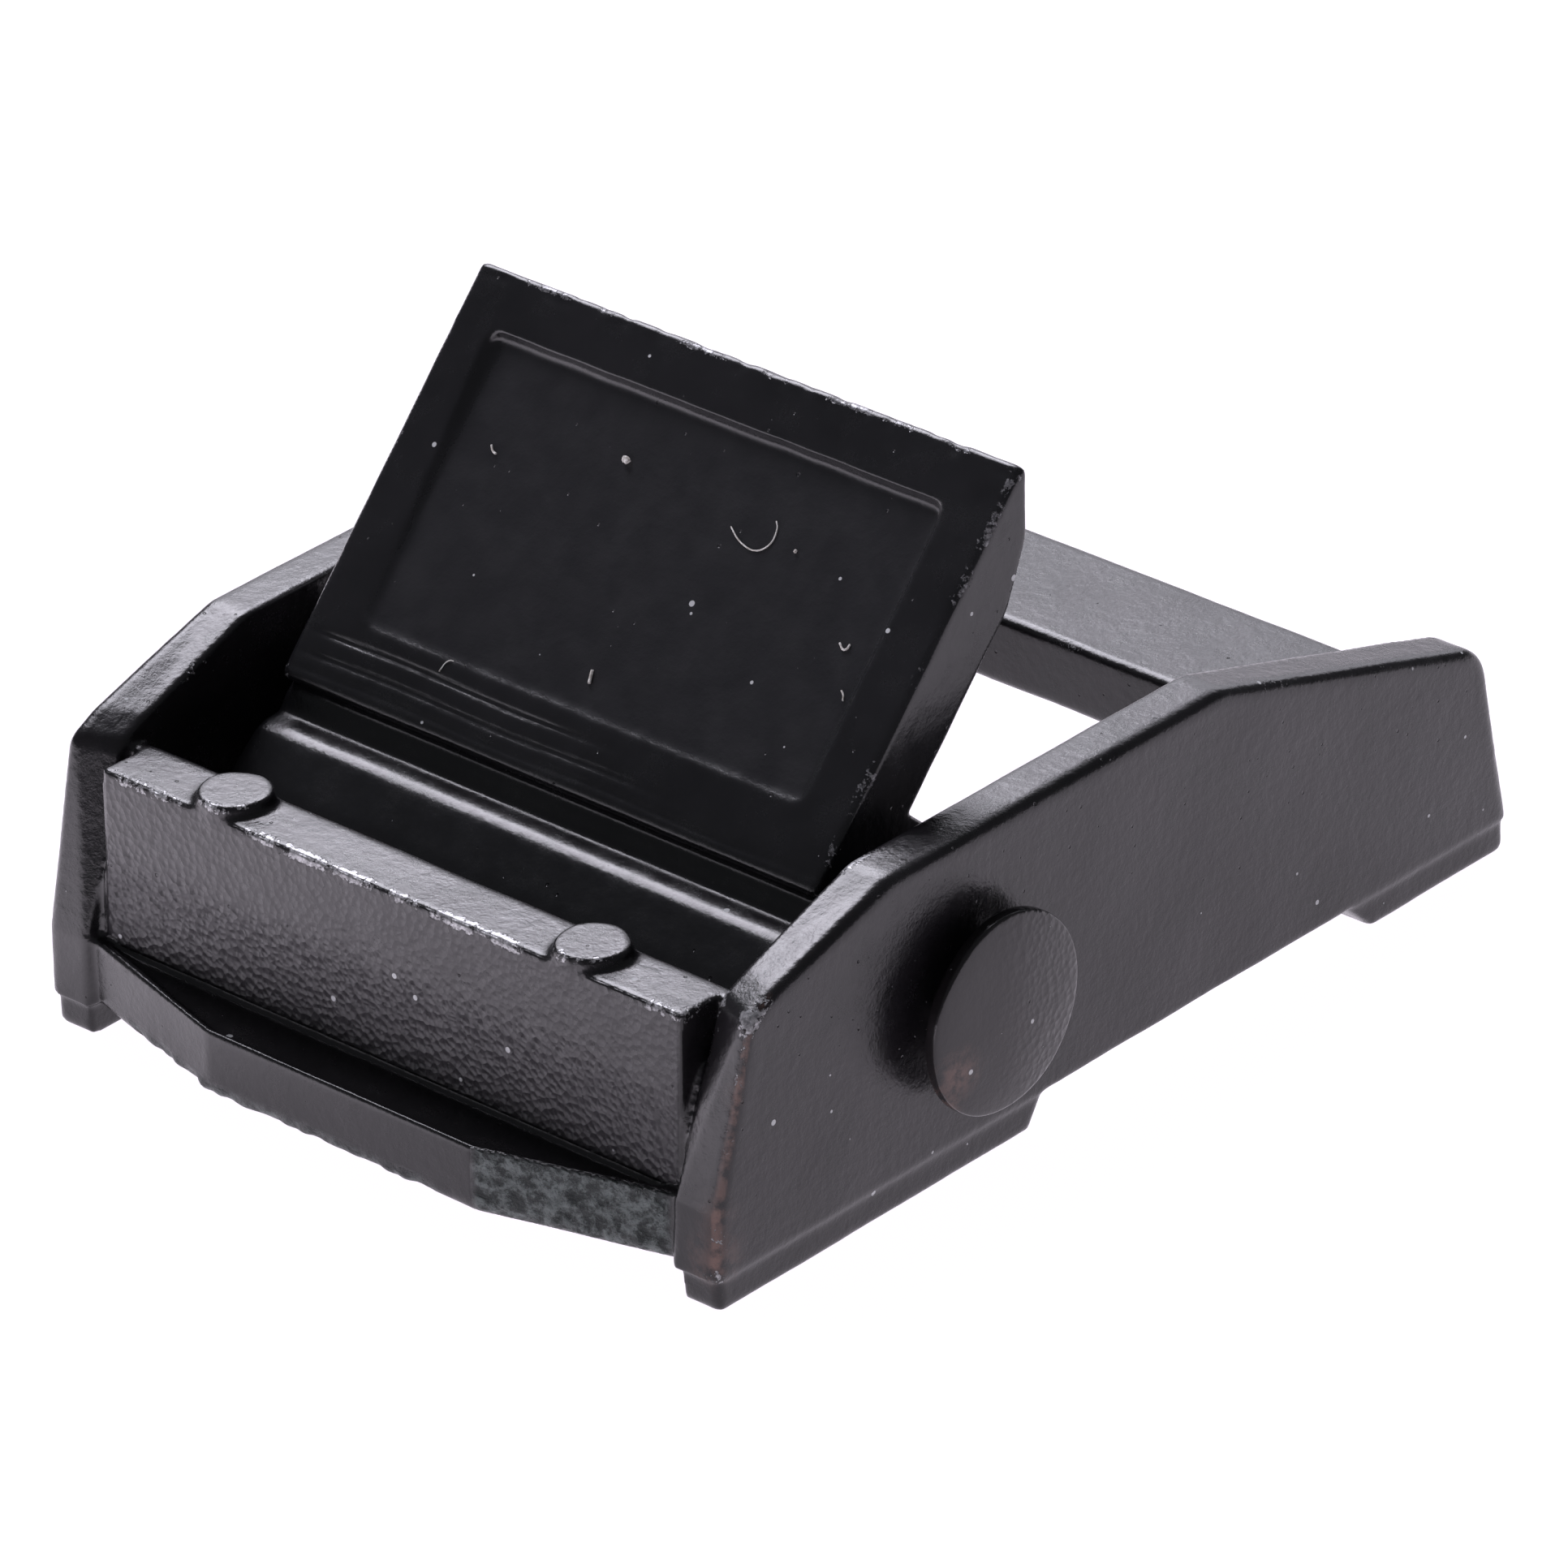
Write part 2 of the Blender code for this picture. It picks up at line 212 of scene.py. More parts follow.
def turned(name, outline, centre, segments=96):
    """An (x, radius) outline turned about an axis along x through the (y, z) centre."""
    rings = []
    for x, radius in outline:
        ring = []
        for k in range(segments):
            a = 2 * math.pi * k / segments
            ring.append((x, centre[0] + radius * math.cos(a), centre[1] + radius * math.sin(a)))
        rings.append(ring)
    return solid(name, rings)


def combine(target, other, operation):
    mod = target.modifiers.new(other.name, "BOOLEAN")
    mod.object = other
    mod.operation = operation
    mod.solver = "EXACT"


def bake_modifiers(ob, parts=()):
    """Applies the object's modifiers and removes the parts they used."""
    bpy.context.view_layer.update()
    graph = bpy.context.evaluated_depsgraph_get()
    data = bpy.data.meshes.new_from_object(ob.evaluated_get(graph))
    old = ob.data
    ob.modifiers.clear()
    ob.data = data
    bpy.data.meshes.remove(old)
    for part in parts:
        bpy.data.objects.remove(part)
    return ob


def remesh(ob, voxel):
    mod = ob.modifiers.new("cast", "REMESH")
    mod.mode = "VOXEL"
    mod.voxel_size = voxel
    mod.adaptivity = 0.0
    return bake_modifiers(ob)


# ---------------------------------------------------------------- mesh arrays

class Surface:
    """A mesh's points as arrays, with its neighbours, so that it can be smoothed and worn."""

    def __init__(self, ob):
        self.mesh = ob.data
        count = len(self.mesh.vertices)
        self.points = np.empty(count * 3)
        self.mesh.vertices.foreach_get("co", self.points)
        self.points = self.points.reshape(-1, 3)
        edges = np.empty(len(self.mesh.edges) * 2, dtype=np.int64)
        self.mesh.edges.foreach_get("vertices", edges)
        self.a, self.b = edges.reshape(-1, 2).T
        self.degree = np.maximum(np.bincount(np.r_[self.a, self.b], minlength=count), 1)

    def average(self, values):
        if values.ndim == 1:
            total = np.bincount(self.a, values[self.b], len(values))
            total += np.bincount(self.b, values[self.a], len(values))
            return total / self.degree
        return np.stack([self.average(values[:, k]) for k in range(values.shape[1])], axis=1)

    def smooth(self, rounds, strength=0.5, back=0.0):
        for _ in range(rounds):
            self.points += strength * (self.average(self.points) - self.points)
            if back:
                self.points -= back * (self.average(self.points) - self.points)

    def store(self):
        self.mesh.vertices.foreach_set("co", self.points.ravel())
        self.mesh.update()

    def normals(self):
        self.store()
        out = np.empty(len(self.points) * 3)
        self.mesh.vertices.foreach_get("normal", out)
        return out.reshape(-1, 3)

    def convexity(self, voxel, rounds=7):
        """How sharply the surface turns outward; it is below 0 in a corner."""
        n = self.normals()
        bend = -np.einsum("ij,ij->i", self.average(self.points) - self.points, n) / voxel
        for _ in range(rounds):
            bend = 0.4 * bend + 0.6 * self.average(bend)
        return bend

    def push(self, amount):
        self.points += self.normals() * amount[:, None]

    def attribute(self, name, values):
        layer = self.mesh.attributes.new(name, "FLOAT", "POINT")
        layer.data.foreach_set("value", np.ascontiguousarray(values, dtype=np.float32))


def ramp(value, low, high):
    t = np.clip((value - low) / (high - low), 0.0, 1.0)
    return t * t * (3 - 2 * t)


def cloud(points, scale, seed):
    """Smooth noise between -1 and 1 at the points; scale is features per millimetre."""
    shift = Vector((seed * 7.31, seed * 3.17, seed * 5.73))
    return np.array([noise.noise(Vector(p) * scale + shift) for p in points])


def near(points, spots):
    """The largest of soft balls round the spots; each spot is (x, y, z, radius, strength)."""
    out = np.zeros(len(points))
    for x, y, z, radius, strength in spots:
        d = np.linalg.norm(points - np.array([x, y - LENGTH_CENTRE, z]), axis=1)
        out = np.maximum(out, strength * np.clip(1 - d / radius, 0, 1))
    return out


# ---------------------------------------------------------------- frame

def rounding_stations(flat, edge, radius, steps=6):
    """Stations from a flat side out to an edge rounded to the radius."""
    out = [(flat, 0.0)]
    sign = 1.0 if edge > flat else -1.0
    for k in range(steps + 1):
        a = 0.5 * math.pi * k / steps
        out.append((edge - sign * radius * (1 - math.sin(a)), radius * (1 - math.cos(a))))
    return out


def wall_loop():
    return fillet([
        (-0.75, PARTING, 0.0),
        (-0.65, 4.0, 1.5),
        (0.95, 11.1, 0.9),
        (2.3, 11.75, 1.2),
        (8.5, WALL_TOP, 1.8),
        (26.3, WALL_TOP, 3.0),
        (41.2, 9.1, 1.9),
        (REAR_END, PARTING, 0.0),
    ])


def front_recess(y, z, depth):
    """How far the wall's front edge leans back on its inner side, above the lip."""
    if y > RECESS_REACH or z < LIP_TOP:
        return 0.0
    return RECESS_SLOPE * (z - LIP_TOP) * max(0.0, 1 - depth / WALL_THICK)


def wall(name, side):
    loop = wall_loop()
    inner = WALL_OUTER - WALL_THICK
    stations = [(inner, 0.14), (inner + 0.05, 0.05)]
    stations += rounding_stations(inner + 0.14, WALL_OUTER, WALL_EDGE)
    rings = []
    for x, d in stations:
        ring = []
        for (y, z), (y0, z0) in zip(inset(loop, d), loop):
            level = max(z, PARTING) if z0 > PARTING else PARTING
            lean = WALL_FLARE * (WALL_TOP - level)
            ring.append((side * (x - lean), y + front_recess(y0, z0, x - inner), level))
        rings.append(ring)
    return solid(name, rings)


def foot(name, side, front, back):
    low = WALL_FLARE * (WALL_TOP - PARTING)
    stations = [(side * FOOT_INNER, 0.0)]
    for back_from_wall, shrink in ((0.42, 0.0), (0.2, 0.07), (0.12, 0.25)):
        stations.append((side * (WALL_OUTER - low - back_from_wall), shrink))
    return prism(name, fillet(front + back), stations)


def bar_loop(setback):
    face_low = max(0.0, setback)
    face_high = max(BAR_FACE_LEAN, setback)
    return fillet([
        (face_low, PARTING + 0.3, 0.0),
        (face_high, BAR_TOP, 0.12),
        (BAR_DEPTH, BAR_TOP, 0.5),
        (BAR_FOOT, PARTING + 0.03, 1.0),
        (face_low + 0.3, PARTING + 0.03, 0.0),
    ])


def lip_plan(rim):
    """The lip's outline, drawn in by a rim: its half width, its reach, its reach at the ends."""
    slope = (LIP_REACH - LIP_END_REACH) / (LIP_END - LIP_FLAT_HALF)
    end = LIP_END - rim * 0.3
    reach = LIP_REACH - rim
    end_reach = reach - slope * (end - LIP_FLAT_HALF)
    return end, reach, end_reach


def make_lip():
    end, reach, end_reach = lip_plan(0.0)
    plan = [
        (-LIP_ROOT, 0.1), (-end, -end_reach), (-LIP_FLAT_HALF, -reach), (LIP_FLAT_HALF, -reach),
        (end, -end_reach), (LIP_ROOT, 0.1), (LIP_ROOT, 2.0), (-LIP_ROOT, 2.0),
    ]
    lip = upright("lip", plan, [
        (PARTING + 0.02, 0.25), (PARTING + 0.2, 0.06), (PARTING + 0.45, 0.0),
        (LIP_TOP - 0.16, 0.0), (LIP_TOP - 0.03, 0.06), (LIP_TOP, 0.17),
    ])
    end, reach, end_reach = lip_plan(LIP_RIM)
    rings = []
    for z, grow in ((LIP_TOP - LIP_TROUGH, 0.0), (LIP_TOP, 0.17), (LIP_TOP + 0.6, 0.3)):
        rings.append([
            (-end - 0.1, 1.2, z), (-end - grow, -end_reach - grow + 0.2, z),
            (-LIP_FLAT_HALF, -reach - grow, z), (LIP_FLAT_HALF, -reach - grow, z),
            (end + grow, -end_reach - grow + 0.2, z), (end + 0.1, 1.2, z),
        ])
    trough = solid("trough", rings)
    combine(lip, trough, "DIFFERENCE")
    return bake_modifiers(lip, [trough])


def boss(name, x, tilt):
    """A round ejector pad on the front bar, slightly out of round."""
    ring = []
    for k in range(48):
        a = 2 * math.pi * k / 48
        r = BOSS_RADIUS * (1 + 0.018 * math.sin(3 * a + tilt) + 0.012 * math.sin(5 * a))
        ring.append((x + r * math.cos(a), BOSS_Y + r * math.sin(a)))
    top = BAR_TOP + BOSS_HEIGHT
    return upright(name, ring, [
        (BAR_TOP - 1.0, 0.0), (top - 0.12, 0.0), (top - 0.03, 0.04), (top, 0.13),
    ])


def shape_frame():
    ob = wall("buckle_frame", -1)
    parts = [wall("wall_right", 1)]
    deep = WALL_OUTER - WALL_ROOT
    parts.append(prism("bar", bar_loop(0.0), [(-BAR_HALF, 0.0), (BAR_HALF, 0.0)]))
    parts.append(prism("roots", bar_loop(BAR_FACE_SETBACK), [(-deep, 0.03), (deep, 0.03)]))
    parts.append(make_lip())
    rear = fillet([
        (REAR_BAR_FRONT, REAR_BAR_LOW, 0.5), (REAR_BAR_FRONT, REAR_BAR_HIGH, 0.35),
        (REAR_BAR_BACK, REAR_BAR_HIGH, 0.5), (REAR_BAR_BACK, REAR_BAR_LOW, 0.5),
    ])
    parts.append(prism("rear_bar", rear, [(-deep, 0.0), (deep, 0.0)]))
    front_foot = ([(-0.45, 0.0, 0.4), (-0.5, 1.8, 0.0)], [(17.1, 1.8, 0.0), (16.0, 0.0, 0.3)])
    rear_foot = ([(35.1, 0.0, 0.3), (33.2, 1.8, 0.0)], [(42.6, 1.8, 0.0), (42.7, 0.0, 0.4)])
    for side, tag in ((-1, "left"), (1, "right")):
        parts.append(foot("front_foot_" + tag, side, *front_foot))
        parts.append(foot("rear_foot_" + tag, side, *rear_foot))
        parts.append(boss("boss_" + tag, side * BOSS_X, side))
    for part in parts:
        combine(ob, part, "UNION")
    centre = (PIVOT_Y, PIVOT_Z)
    parts.append(turned("pin_bore", [(-19.0, BORE_RADIUS), (19.0, BORE_RADIUS)], centre))
    combine(ob, parts[-1], "DIFFERENCE")
    hole = (PIVOT_Y, PIVOT_Z + COIL_RADIUS)
    leg_hole = [(-15.4, LEG_HOLE_RADIUS), (-12.0, LEG_HOLE_RADIUS)]
    parts.append(turned("leg_hole", leg_hole, hole, 32))
    combine(ob, parts[-1], "DIFFERENCE")
    return bake_modifiers(ob, parts)


# Places where edges are worn, and spots on the right wall's front corner and front edge that are
# painted highlights, each (x, y, z, radius, strength)
FRAME_WEAR_AND_GLINTS = [
    (-6.0, 0.5, 10.85, 1.6, 0.8), (-3.9, 0.5, 10.85, 2.1, 1.15), (-1.7, 0.5, 10.85, 1.9, 1.1),
    (0.6, 0.5, 10.85, 1.6, 0.8), (3.4, 0.5, 10.85, 2.0, 1.05), (5.4, 0.5, 10.85, 1.6, 1.0),
    (-12.8, 0.3, 10.85, 1.4, 0.5), (-10.6, 0.3, 10.85, 1.4, 0.5), (12.8, 0.35, 10.85, 1.6, 0.65),
    (-8.6, 0.5, 11.0, 1.3, 0.8), (-7.5, 0.9, 11.0, 1.0, 0.7), (8.4, 0.5, 11.0, 1.2, 0.7),
    (9.6, 0.9, 11.2, 0.8, 0.5), (14.9, 1.2, 11.2, 1.5, 1.2), (15.9, 1.4, 11.2, 1.3, 1.2),
    (14.6, 8.8, 13.5, 1.2, 1.3), (14.4, 4.2, 12.4, 0.8, 0.4), (15.6, 29.0, 13.0, 1.0, 0.45),
    (-14.6, 0.8, 10.7, 1.0, 0.6), (-14.3, 5.5, 12.6, 1.6, 0.35), (15.9, 1.9, 5.0, 1.2, 0.3),
    (16.0, -0.5, 1.4, 1.0, 0.55), (-15.7, -0.6, 1.4, 1.0, 0.5), (16.0, -0.4, 7.0, 1.6, 0.4),
    (1.0, 36.0, 6.5, 2.0, 0.4), (7.0, 36.0, 6.5, 1.6, 0.3),
    (16.1, 1.0, 10.6, 1.1, 0.6), (16.1, 0.3, 9.0, 1.4, 0.5), (16.1, -0.5, 3.0, 1.4, 0.6),
]


# Copper-tinted spots down the right wall's front edge: copper wear and a painted highlight, each
# (x, y, z, radius, strength)
FRAME_COPPER_GLINTS = [
    (16.2, -0.6, 2.2, 1.6, 1.0), (16.2, -0.5, 4.0, 1.2, 0.6), (16.3, 0.0, 8.6, 1.0, 0.5),
]


def finish_frame(ob):
    """Casting texture, flash, wear and painted highlights on the frame, and its material's masks.
    """
    remesh(ob, FRAME_VOXEL)
    s = Surface(ob)
    s.smooth(5, 0.55, 0.4)
    x, y, z = s.points.T
    y = y + LENGTH_CENTRE
    n = s.normals()
    rolling = cloud(s.points, 0.32, 1)
    grain = cloud(s.points, 1.9, 2)
    fine = cloud(s.points, 4.2, 3)
    # The bar's front face, its pebbled lower part, the lip's rough right facet, the flash under it
    bar_face = ramp(-n[:, 1], 0.7, 0.9) * (np.abs(x) < 13.8) * (y > -0.25) * (y < 0.9) * (z > 4.1)
    lower = bar_face * ramp(7.4 - z, -1.2, 1.6)
    facet = ramp(x, 6.3, 6.6) * ramp(LIP_END - x, 0.0, 0.6) * ramp(-n[:, 1], 0.5, 0.8)
    facet *= (y < 0.4) * (z < 4.3) * (y < -0.3)
    drip = ramp(2.15 - z, 0.0, 0.5) * ramp(-n[:, 1], 0.05, 0.6) * (y < -1.0)
    drip *= ramp(5.5 - x, 0.0, 2.0)
    push = 0.028 * rolling + 0.006 * grain + 0.003 * fine
    push += lower * (0.016 * fine + 0.012 * grain)
    push += facet * (0.10 * grain + 0.06 * fine - 0.05)
    push += drip * 0.16 * (cloud(s.points, 1.4, 4) - 0.15)
    push -= 0.02
    edge = s.convexity(FRAME_VOXEL, 10)
    s.push(push)
    s.store()
    # The wear mask also paints highlights: bright metal spots on the right wall's front corner and
    # down its front edge.
    wear_and_glint = near(s.points, FRAME_WEAR_AND_GLINTS)
    ridge = ramp(edge, *CAST_RIDGE)
    s.attribute("wear_and_glint", np.clip(wear_and_glint * ridge + 0.28 * ridge * ramp(rolling, 0.1, 0.6), 0, 1))
    s.attribute("coarse", np.clip(facet + 0.6 * drip, 0, 1))
    s.attribute("pebble", np.clip(lower + 0.35 * bar_face, 0, 1))
    # A copper-tinted line down the right wall's front edge where it faces forward and right:
    # copper wear and a painted highlight.
    copper_and_glint = near(s.points, FRAME_COPPER_GLINTS)
    front_edge_glint = ramp(n[:, 0], 0.25, 0.5) * ramp(-n[:, 1], 0.25, 0.5)
    front_edge_glint *= ramp(x, 15.0, 15.6) * ramp(z, 1.2, 2.0)
    s.attribute("copper_and_glint", np.clip(copper_and_glint * 0.6 + 0.8 * ridge * front_edge_glint, 0, 1))


# ---------------------------------------------------------------- lever

def plate_point(along, out):
    """The (y, z) of a point on the thumb plate, measured up its face and out from it."""
    c, s = math.cos(PLATE_ANGLE), math.sin(PLATE_ANGLE)
    return (PLATE_FOOT[0] + along * c - out * s, PLATE_FOOT[1] + along * s + out * c)


def polar(radius, degrees):
    a = math.radians(degrees)
    return (PIVOT_Y + radius * math.cos(a), PIVOT_Z + radius * math.sin(a))


def lever_loop():
    """The lever's side profile, from the plate's foot round the cam, its teeth and the hub."""
    corners = [
        (*plate_point(0.0, 0.0), 0.3),
        (8.95, 11.3, 0.15),
        (9.9, 11.4, 0.0),
        (9.9, 11.1, 0.0),
        (8.75, 11.08, 0.12),
        (8.25, 10.36, 0.25),
        (7.2, 10.28, 1.3),
        (5.7, 9.05, 0.0),
    ]
    for i in range(TOOTH_COUNT):
        angle = 179.0 + i * TOOTH_PITCH
        radius = NOSE_RADIUS - 0.011 * (i * TOOTH_PITCH) - 0.0009 * (i * TOOTH_PITCH) ** 2
        corners.append((*polar(radius, angle), 0.0))
        corners.append((*polar(radius - TOOTH_DEPTH, angle + TOOTH_PITCH * 0.35), 0.0))
    for degrees in range(228, 421, 6):
        corners.append((*polar(HUB_RADIUS, degrees), 0.0))
    corners += [
        (*plate_point(4.4, -PLATE_THICK), 0.0),
        (*plate_point(12.3, -PLATE_THICK), 1.5),
        (*plate_point(14.9, -2.2), 1.5),
        (*plate_point(16.1, -1.1), 0.5),
        (*plate_point(PLATE_LENGTH, -0.45), 0.15),
        (*plate_point(PLATE_LENGTH - 0.04, 0.0), 0.15),
    ]
    return fillet(corners, 5)


def panel_floor(along):
    """The panel sinks from a shallow lower edge to its full depth at the top."""
    share = min(max((along - PANEL_LOW) / (PANEL_HIGH - PANEL_LOW), 0.0), 1.0)
    return -(PANEL_SHALLOW + share * (PANEL_DEPTH - PANEL_SHALLOW))


def panel_cutter():
    """The thumb plate's recess, from above the face down to its sloping floor."""
    rings = []
    for out, grow in ((0.7, PANEL_BEVEL * 1.6), (0.0, 0.05), (None, -PANEL_BEVEL)):
        low, high = PANEL_LOW - grow, PANEL_HIGH + grow
        corners = [
            (PANEL_LOW_LEFT - grow, low, PANEL_CORNER),
            (PANEL_LOW_RIGHT + grow, low, PANEL_CORNER),
            (PANEL_HIGH_RIGHT + grow, high, PANEL_CORNER),
            (PANEL_HIGH_LEFT - grow, high, PANEL_CORNER),
        ]
        ring = []
        for x, along in fillet(corners, 5):
            y, z = plate_point(along, panel_floor(along) if out is None else out)
            ring.append((x, y, z))
        rings.append(ring)
    return solid("panel_recess", rings)


def shape_lever():
    stations = [(-LEVER_HALF, 0.16), (-LEVER_HALF + 0.05, 0.05), (-LEVER_HALF + 0.2, 0.0)]
    stations += [(LEVER_HALF - 0.2, 0.0), (LEVER_HALF - 0.05, 0.05), (LEVER_HALF, 0.16)]
    ob = prism("thumb_lever", lever_loop(), stations)
    parts = [panel_cutter()]
    bore = [
        (-14.0, POCKET_RADIUS), (POCKET_FLOOR, POCKET_RADIUS), (POCKET_FLOOR, BORE_RADIUS),
        (14.0, BORE_RADIUS),
    ]
    parts.append(turned("hub_bore", bore, (PIVOT_Y, PIVOT_Z)))
    hole = (PIVOT_Y, PIVOT_Z + COIL_RADIUS)
    leg_hole = [(-8.6, LEG_HOLE_RADIUS), (-5.8, LEG_HOLE_RADIUS)]
    parts.append(turned("moving_leg_hole", leg_hole, hole, 32))
    for part in parts:
        combine(ob, part, "DIFFERENCE")
    return bake_modifiers(ob, parts)


LEVER_WORN = [
    (-9.5, 19.5, 23.7, 1.6, 0.75), (-6.8, 19.5, 23.7, 1.3, 0.5), (-2.0, 19.5, 23.7, 1.6, 0.8),
    (1.4, 19.5, 23.7, 1.3, 0.45), (5.2, 19.5, 23.7, 1.9, 0.9), (7.4, 19.5, 23.7, 1.2, 0.7),
    (10.2, 19.5, 23.7, 1.2, 0.5), (12.6, 19.4, 23.4, 1.1, 0.6), (12.8, 18.0, 22.2, 1.4, 0.75),
    (12.8, 16.6, 20.7, 1.3, 0.6), (12.8, 14.0, 17.9, 1.3, 0.4), (12.8, 11.2, 14.9, 1.8, 0.55),
    (12.8, 9.6, 12.9, 1.2, 0.5), (-12.8, 8.5, 11.6, 1.0, 0.5), (-12.8, 15.0, 19.0, 1.6, 0.3),
    (10.8, 10.5, 13.5, 0.9, 0.6), (-10.6, 17.8, 22.4, 0.8, 0.6), (10.7, 17.7, 22.3, 0.9, 0.5),
    (-10.9, 11.2, 14.6, 1.0, 0.5),
]


# Rubbed lines across the plate below its panel, each (height, left end, right end, depth)
PLATE_LINES = [(2.15, -12.0, 1.0, 0.085), (1.3, -12.0, 4.0, 0.07), (0.7, -12.4, 12.0, 0.04)]


def finish_lever(ob):
    """Casting texture, rubbed lines and wear on the lever, and its material's masks."""
    remesh(ob, LEVER_VOXEL)
    s = Surface(ob)
    s.smooth(4, 0.55, 0.42)
    rolling = cloud(s.points, 0.4, 11)
    grain = cloud(s.points, 1.6, 12)
    fine = cloud(s.points, 4.0, 13)
    edge = s.convexity(LEVER_VOXEL)
    x, y, z = s.points.T
    # Each point's height up the plate's face and its distance out from it
    c, sn = math.cos(PLATE_ANGLE), math.sin(PLATE_ANGLE)
    along = (y + LENGTH_CENTRE - PLATE_FOOT[0]) * c + (z - PLATE_FOOT[1]) * sn
    out = -(y + LENGTH_CENTRE - PLATE_FOOT[0]) * sn + (z - PLATE_FOOT[1]) * c
    on_face = ramp(out, -0.9, -0.6)
    border = np.exp(-((along - PANEL_HIGH) / 0.3) ** 2)
    push = 0.014 * rolling + 0.004 * grain + 0.002 * fine - 0.015
    top_edge = ramp(along, PLATE_LENGTH - 0.8, PLATE_LENGTH - 0.25)
    push -= top_edge * 0.06 * ramp(cloud(s.points, 1.1, 15), -0.1, 0.5)
    push += border * on_face * 0.035 * cloud(s.points, 0.7, 14)
    for level, left, right, depth in PLATE_LINES:
        line = np.exp(-((along - level - 0.05 * np.sin(x * 0.6)) / 0.13) ** 2)
        push -= depth * line * on_face * ramp(x, left - 1, left + 1) * ramp(right - x, -3.0, 3.0)
    s.push(push)
    s.store()
    ridge = ramp(edge, *CAST_RIDGE)
    wear_and_glint = near(s.points, LEVER_WORN)
    s.attribute("wear_and_glint", np.clip(wear_and_glint * ridge + 0.2 * ridge * ramp(rolling, 0.2, 0.6), 0, 1))
    inner = ramp(along, PANEL_LOW, PANEL_LOW + 0.3) * ramp(PANEL_HIGH - along, 0.0, 0.3)
    inner *= ramp(x, -10.7, -10.3) * ramp(10.6 - x, 0.0, 0.4) * on_face
    s.attribute("matte", inner)


# Fibres and flecks on the panel, each a path of (x, height up the plate), and their radii
LINT = [
    [(2.35, 11.14), (2.99, 10.72), (3.84, 10.57), (4.33, 11.05), (4.27, 11.67), (4.05, 11.91)],
    [(-0.24, 4.55), (-0.18, 4.3), (-0.10, 4.05)],
    [(-8.94, 10.72), (-8.75, 10.5), (-8.55, 10.47)],
    [(8.94, 8.72), (9.2, 8.5), (9.36, 8.6), (9.38, 8.8)],
    [(9.93, 7.18), (10.12, 7.05), (10.2, 6.85)],
    [(-6.31, 2.4), (-6.2, 2.9), (-5.8, 3.0), (-5.39, 2.95)],
    [(-3.25, 11.98), (-3.12, 12.0), (-3.02, 11.93)],
    [(5.38, 11.16), (5.46, 11.14)],
]
LINT_RADII = [0.028, 0.06, 0.04, 0.04, 0.035, 0.022, 0.13, 0.07]
LINT_SIDES = 8


def round_path(path):
    """Cuts each corner of an open path once, keeping its ends."""
    out = [path[0]]
    for (ax, ay), (bx, by) in zip(path, path[1:]):
        out.append((0.75 * ax + 0.25 * bx, 0.75 * ay + 0.25 * by))
        out.append((0.25 * ax + 0.75 * bx, 0.25 * ay + 0.75 * by))
    return out + [path[-1]]


def make_lint():
    """Fibres and flecks that lie on the thumb plate's panel."""
    c, s = math.cos(PLATE_ANGLE), math.sin(PLATE_ANGLE)
    tubes = bmesh.new()
    for path, radius in zip(LINT, LINT_RADII):
        rings = []
        path = round_path(round_path(path))
        for k, (x, along) in enumerate(path):
            thick = radius * (0.55 if k in (0, len(path) - 1) else 1.0)
            floor = panel_floor(along) if along > PANEL_LOW else 0.0
            y, z = plate_point(along, floor + thick * 0.5)
            ax, aa = path[max(k - 1, 0)]
            bx, ba = path[min(k + 1, len(path) - 1)]
            size = math.hypot(bx - ax, ba - aa)
            tx, ta = (bx - ax) / size, (ba - aa) / size
            ring = []
            for j in range(LINT_SIDES):
                a = 2 * math.pi * j / LINT_SIDES
                side, up = thick * math.cos(a), thick * math.sin(a)
                ring.append(tubes.verts.new((
                    x - ta * side,
                    y + tx * side * c - up * s - LENGTH_CENTRE,
                    z + tx * side * s + up * c,
                )))
            rings.append(ring)
        for low, high in zip(rings, rings[1:]):
            for j in range(LINT_SIDES):
                k = (j + 1) % LINT_SIDES
                tubes.faces.new((low[j], low[k], high[k], high[j]))
        tubes.faces.new(rings[0])
        tubes.faces.new(list(reversed(rings[-1])))
    bmesh.ops.recalc_face_normals(tubes, faces=tubes.faces)
    for face in tubes.faces:
        face.material_index = 1
    data = bpy.data.meshes.new("lint")
    tubes.to_mesh(data)
    tubes.free()
    return data


def add_mesh(ob, extra):
    """Joins another mesh into the object's own, keeping its attributes."""
    both = bmesh.new()
    both.from_mesh(ob.data)
    both.from_mesh(extra)
    both.to_mesh(ob.data)
    both.free()
    bpy.data.meshes.remove(extra)


# ---------------------------------------------------------------- rivet

# The rivet's outline on each side of the buckle, from its middle outwards, as (x, radius)
RIVET_HEAD = [
    (HEAD_START, SHANK_RADIUS), (HEAD_START, 2.75), (17.35, 2.75), (17.35, 3.72), (17.37, 3.80),
    (17.42, 3.82), (17.74, 3.82), (17.80, 3.80), (17.84, 3.75), (17.87, 3.62), (17.92, 3.3),
    (17.98, 2.8), (18.04, 2.1), (18.08, 1.4), (18.11, 0.8), (18.12, 0.12),
]
RIVET_TAIL = [
    (-HEAD_START, SHANK_RADIUS), (-HEAD_START, 2.95), (-16.9, 3.05), (-17.15, 3.0), (-17.4, 2.78),
    (-17.66, 2.35), (-17.85, 1.85), (-17.98, 1.3), (-18.06, 0.7), (-18.08, 0.12),
]
RIVET_WORN = [(17.6, 11.6, 3.4, 1.3, 0.5), (17.6, 9.4, 5.4, 1.5, 0.4)]
RIVET_COPPER = [(17.9, 10.1, 5.6, 1.3, 0.9), (17.7, 9.4, 4.6, 1.2, 0.8)]


